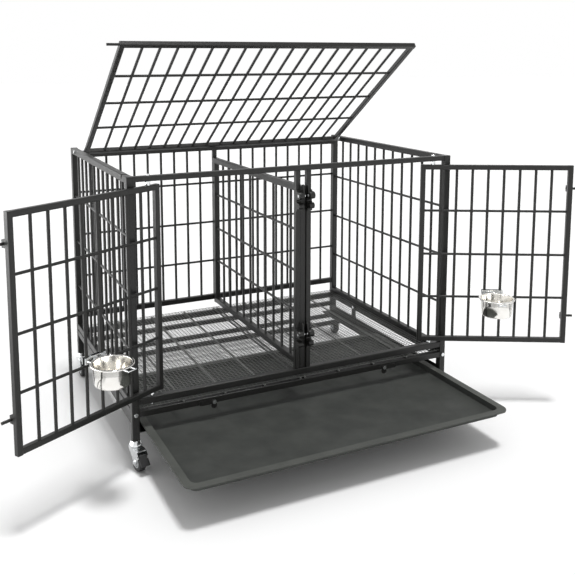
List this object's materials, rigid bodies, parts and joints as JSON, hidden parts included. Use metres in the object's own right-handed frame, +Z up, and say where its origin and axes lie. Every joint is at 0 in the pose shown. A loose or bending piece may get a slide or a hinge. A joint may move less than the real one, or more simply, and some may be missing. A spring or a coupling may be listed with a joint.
{
  "type": "dog crate",
  "caption": "Heavy duty barred dog crate on casters with divider, swing doors with bowls, lift-up lid and slide-out tray.",
  "frame": {"origin": "floor level, middle between the four corner posts", "axes": "X right seen from the front, Y toward the back, Z up"},
  "size_m": [1.829, 1.1364, 1.2142],
  "materials": {
    "powder_coat": "satin",
    "net_wire": "satin",
    "zinc": "satin",
    "stainless": "polished",
    "tray_plastic": "matte",
    "tyre_rubber": "matte",
    "hub_plastic": "matte",
    "pedal_plastic": "matte"
  },
  "bodies": {
    "frame": {"post_front_left": "powder_coat", "post_front_right": "powder_coat", "post_rear_left": "powder_coat", "post_rear_right": "powder_coat", "left_side_panel": "powder_coat", "right_side_panel": "powder_coat", "back_panel": "powder_coat", "front_top_rail": "powder_coat", "front_sill": "powder_coat", "centre_post_left": "powder_coat", "centre_post_right": "powder_coat", "base_front_rail": "powder_coat", "base_rear_rail": "powder_coat", "base_left_rail": "powder_coat", "base_right_rail": "powder_coat", "floor_grid_left": "net_wire", "floor_grid_right": "net_wire", "tray_runner_left": "powder_coat", "tray_runner_right": "powder_coat", "tray_cross_rails": "powder_coat", "divider_panel": "powder_coat", "latch_housings": "powder_coat", "latch_rivets": "zinc", "post_caps": "powder_coat", "frame_bolts": "zinc", "door_pivot_bolts": "zinc", "lid_hinge_pins": "zinc", "caster_stems": "zinc"},
    "lid": {"lid_panel": "powder_coat"},
    "tray": {"tray": "tray_plastic"},
    "left_door": {"left_door": "powder_coat", "left_door_pins": "powder_coat", "left_bowl_holder": "zinc", "left_bowl_clamp": "zinc"},
    "left_bowl": {"left_bowl": "stainless"},
    "tray_stop_left": {"tray_stop_left": "powder_coat"},
    "latch_dog_upper_left": {"latch_dog_upper_left": "powder_coat"},
    "latch_dog_lower_left": {"latch_dog_lower_left": "powder_coat"},
    "right_door": {"right_door": "powder_coat", "right_door_pins": "powder_coat", "right_bowl_holder": "zinc", "right_bowl_clamp": "zinc"},
    "right_bowl": {"right_bowl": "stainless"},
    "tray_stop_right": {"tray_stop_right": "powder_coat"},
    "latch_dog_upper_right": {"latch_dog_upper_right": "powder_coat"},
    "latch_dog_lower_right": {"latch_dog_lower_right": "powder_coat"},
    "caster_front_left": {"caster_fork_front_left": "zinc"},
    "wheel_front_left": {"caster_hub_front_left": "hub_plastic", "caster_tyre_front_left": "tyre_rubber"},
    "brake_pedal_left": {"brake_pedal_left": "pedal_plastic"},
    "caster_front_right": {"caster_fork_front_right": "zinc"},
    "wheel_front_right": {"caster_hub_front_right": "hub_plastic", "caster_tyre_front_right": "tyre_rubber"},
    "brake_pedal_right": {"brake_pedal_right": "pedal_plastic"},
    "caster_rear_left": {"caster_fork_rear_left": "zinc"},
    "wheel_rear_left": {"caster_hub_rear_left": "hub_plastic", "caster_tyre_rear_left": "tyre_rubber"},
    "caster_rear_right": {"caster_fork_rear_right": "zinc"},
    "wheel_rear_right": {"caster_hub_rear_right": "hub_plastic", "caster_tyre_rear_right": "tyre_rubber"}
  },
  "joints": [
    {"name": "lid_hinge", "type": "hinge", "parent": "frame", "child": "lid", "pos_m": [0, 0.3135, 0.837], "axis": [-1, 0, 0], "range_deg": [-35, 140]},
    {"name": "tray_slide", "type": "slide", "parent": "frame", "child": "tray", "axis": [0, -1, 0], "range_m": [-0.366, 0.12]},
    {"name": "left_door_hinge", "type": "hinge", "parent": "frame", "child": "left_door", "pos_m": [-0.482, -0.3715, 0], "axis": [0, 0, 1], "range_deg": [0, 152]},
    {"name": "left_bowl_lift", "type": "slide", "parent": "left_door", "child": "left_bowl", "axis": [0, 0, 1], "range_m": [0, 0.12]},
    {"name": "tray_stop_left_turn", "type": "hinge", "parent": "frame", "child": "tray_stop_left", "pos_m": [-0.298, -0.3815, 0.158], "axis": [0, -1, 0], "range_deg": [0, 90]},
    {"name": "latch_dog_upper_left_swing", "type": "hinge", "parent": "frame", "child": "latch_dog_upper_left", "pos_m": [-0.00825, -0.3955, 0.755], "axis": [1, 0, 0], "range_deg": [0, 180]},
    {"name": "latch_dog_lower_left_swing", "type": "hinge", "parent": "frame", "child": "latch_dog_lower_left", "pos_m": [-0.00825, -0.3955, 0.322], "axis": [1, 0, 0], "range_deg": [0, 180]},
    {"name": "right_door_hinge", "type": "hinge", "parent": "frame", "child": "right_door", "pos_m": [0.482, -0.3715, 0], "axis": [0, 0, -1], "range_deg": [0, 152]},
    {"name": "right_bowl_lift", "type": "slide", "parent": "right_door", "child": "right_bowl", "axis": [0, 0, 1], "range_m": [0, 0.12]},
    {"name": "tray_stop_right_turn", "type": "hinge", "parent": "frame", "child": "tray_stop_right", "pos_m": [0.298, -0.3815, 0.158], "axis": [0, 1, 0], "range_deg": [0, 90]},
    {"name": "latch_dog_upper_right_swing", "type": "hinge", "parent": "frame", "child": "latch_dog_upper_right", "pos_m": [0.00825, -0.3955, 0.755], "axis": [1, 0, 0], "range_deg": [0, 180]},
    {"name": "latch_dog_lower_right_swing", "type": "hinge", "parent": "frame", "child": "latch_dog_lower_right", "pos_m": [0.00825, -0.3955, 0.322], "axis": [1, 0, 0], "range_deg": [0, 180]},
    {"name": "front_left_swivel", "type": "hinge", "parent": "frame", "child": "caster_front_left", "pos_m": [-0.534, -0.3715, 0.066], "axis": [0, 0, 1], "continuous": true},
    {"name": "front_left_wheel_spin", "type": "hinge", "parent": "caster_front_left", "child": "wheel_front_left", "pos_m": [-0.53053, -0.3912, 0.028], "axis": [0.9848, 0.1736, 0], "continuous": true},
    {"name": "brake_pedal_left_lift", "type": "hinge", "parent": "caster_front_left", "child": "brake_pedal_left", "pos_m": [-0.52671, -0.41286, 0.052], "axis": [-0.9848, -0.1736, 0], "range_deg": [0, 14]},
    {"name": "front_right_swivel", "type": "hinge", "parent": "frame", "child": "caster_front_right", "pos_m": [0.534, -0.3715, 0.066], "axis": [0, 0, 1], "continuous": true},
    {"name": "front_right_wheel_spin", "type": "hinge", "parent": "caster_front_right", "child": "wheel_front_right", "pos_m": [0.53918, -0.39082, 0.028], "axis": [0.9659, 0.2588, 0], "continuous": true},
    {"name": "brake_pedal_right_lift", "type": "hinge", "parent": "caster_front_right", "child": "brake_pedal_right", "pos_m": [0.54487, -0.41207, 0.052], "axis": [-0.9659, -0.2588, 0], "range_deg": [0, 14]},
    {"name": "rear_left_swivel", "type": "hinge", "parent": "frame", "child": "caster_rear_left", "pos_m": [-0.534, 0.3715, 0.066], "axis": [0, 0, 1], "continuous": true},
    {"name": "rear_left_wheel_spin", "type": "hinge", "parent": "caster_rear_left", "child": "wheel_rear_left", "pos_m": [-0.5333, 0.35151, 0.028], "axis": [0.9994, 0.0349, 0], "continuous": true},
    {"name": "rear_right_swivel", "type": "hinge", "parent": "frame", "child": "caster_rear_right", "pos_m": [0.534, 0.3715, 0.066], "axis": [0, 0, 1], "continuous": true},
    {"name": "rear_right_wheel_spin", "type": "hinge", "parent": "caster_rear_right", "child": "wheel_rear_right", "pos_m": [0.53122, 0.35169, 0.028], "axis": [0.9903, -0.1392, 0], "continuous": true}
  ]
}
